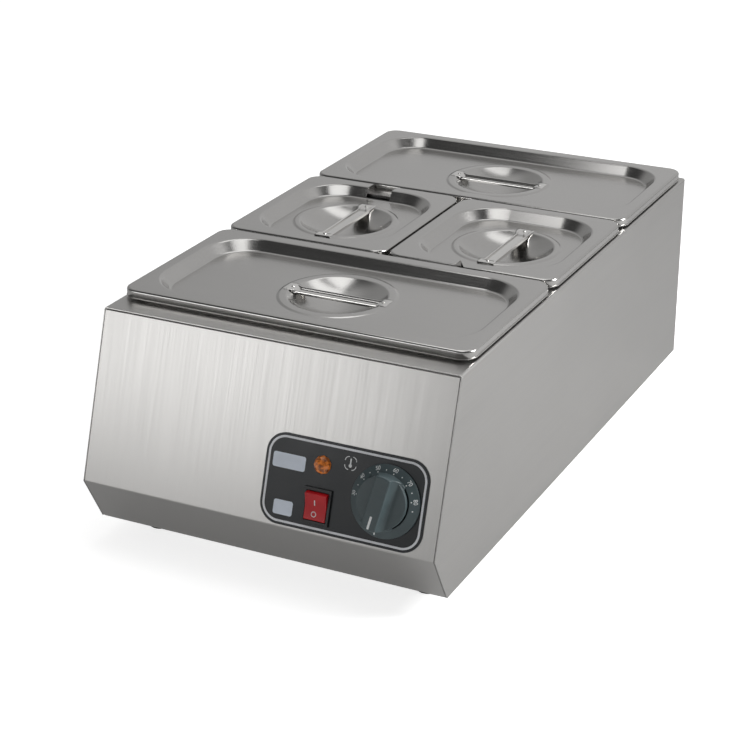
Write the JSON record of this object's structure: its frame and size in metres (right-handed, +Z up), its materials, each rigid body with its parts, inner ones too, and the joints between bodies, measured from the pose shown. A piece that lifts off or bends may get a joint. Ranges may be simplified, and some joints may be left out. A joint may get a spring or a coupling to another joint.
{
  "type": "electric chocolate melting tank",
  "caption": "Countertop bain-marie chocolate melter: brushed steel casing with a sloped control face, lift-out pans in rows and drawn lids with strap handles over a heated well.",
  "frame": {"origin": "on the floor under the middle of the overall box", "axes": "+X to the right as seen from the controls, +Y from the control face to the rear, +Z up"},
  "size_m": [0.34, 0.6532, 0.223],
  "materials": {
    "casing_steel": "brushed stainless sheet",
    "well_steel": "plain stainless sheet",
    "pan_steel": "satin drawn stainless sheet",
    "lid_steel": "satin polished stainless sheet",
    "heater_steel": "heat-tinted tube",
    "plated_steel": "bright plated",
    "overlay_black": "satin printed film",
    "slate_plastic": "satin moulded",
    "black_plastic": "satin moulded",
    "red_plastic": "glossy translucent moulded",
    "amber_lens": "clear amber moulded",
    "white_plastic": "moulded",
    "copper": "drawn copper",
    "foot_rubber": "matte moulded"
  },
  "bodies": {
    "tank": {"outer_casing": "casing_steel", "front_panel": "casing_steel", "rear_panel": "casing_steel", "base_plate": "well_steel", "heated_well": "well_steel", "front_divider_bar": "well_steel", "rear_divider_bar": "well_steel", "heating_element": "heater_steel", "element_clamps": "well_steel", "well_nuts": "plated_steel", "overheat_cutout": "black_plastic", "thermostat_body": "white_plastic", "thermostat_screws": "plated_steel", "thermostat_bulb": "copper", "bulb_clip": "well_steel", "control_overlay": "overlay_black", "dial_ring": "slate_plastic", "switch_housing": "black_plastic", "lamp_lens": "amber_lens", "lamp_body": "white_plastic", "lamp_nut": "white_plastic", "terminal_block": "white_plastic", "terminal_screws": "plated_steel", "cable_gland": "black_plastic", "gland_nut": "black_plastic", "front_left_foot": "foot_rubber", "front_right_foot": "foot_rubber", "rear_left_foot": "foot_rubber", "rear_right_foot": "foot_rubber", "foot_screws": "plated_steel", "foot_nuts": "plated_steel", "base_screws": "plated_steel", "rear_screws": "plated_steel"},
    "front_pan_body": {"front_pan": "pan_steel"},
    "left_pan_body": {"left_pan": "pan_steel"},
    "right_pan_body": {"right_pan": "pan_steel"},
    "rear_pan_body": {"rear_pan": "pan_steel"},
    "front_lid_body": {"front_lid": "lid_steel", "front_lid_handle": "lid_steel"},
    "left_lid_body": {"left_lid": "lid_steel", "left_lid_handle": "lid_steel"},
    "right_lid_body": {"right_lid": "lid_steel", "right_lid_handle": "lid_steel"},
    "rear_lid_body": {"rear_lid": "lid_steel", "rear_lid_handle": "lid_steel"},
    "rocker": {"switch_rocker": "red_plastic"},
    "knob": {"control_knob": "slate_plastic", "thermostat_shaft": "plated_steel"}
  },
  "joints": [
    {"name": "front_pan_lift", "type": "slide", "parent": "tank", "child": "front_pan_body", "axis": [0, 0, 1], "range_m": [0, 0.115]},
    {"name": "left_pan_lift", "type": "slide", "parent": "tank", "child": "left_pan_body", "axis": [0, 0, 1], "range_m": [0, 0.115]},
    {"name": "right_pan_lift", "type": "slide", "parent": "tank", "child": "right_pan_body", "axis": [0, 0, 1], "range_m": [0, 0.115]},
    {"name": "rear_pan_lift", "type": "slide", "parent": "tank", "child": "rear_pan_body", "axis": [0, 0, 1], "range_m": [0, 0.115]},
    {"name": "front_lid_lift", "type": "slide", "parent": "front_pan_body", "child": "front_lid_body", "axis": [0, 0, 1], "range_m": [0, 0.06]},
    {"name": "left_lid_lift", "type": "slide", "parent": "left_pan_body", "child": "left_lid_body", "axis": [0, 0, 1], "range_m": [0, 0.06]},
    {"name": "right_lid_lift", "type": "slide", "parent": "right_pan_body", "child": "right_lid_body", "axis": [0, 0, 1], "range_m": [0, 0.06]},
    {"name": "rear_lid_lift", "type": "slide", "parent": "rear_pan_body", "child": "rear_lid_body", "axis": [0, 0, 1], "range_m": [0, 0.06]},
    {"name": "rocker_press", "type": "hinge", "parent": "tank", "child": "rocker", "pos_m": [0.05875, -0.30516, 0.08948], "axis": [-1, 0, 0], "range_deg": [0, 18]},
    {"name": "knob_turn", "type": "hinge", "parent": "tank", "child": "knob", "pos_m": [0.11975, -0.29971, 0.10538], "axis": [0, 0.9496, -0.3133], "range_deg": [0, 266]}
  ]
}
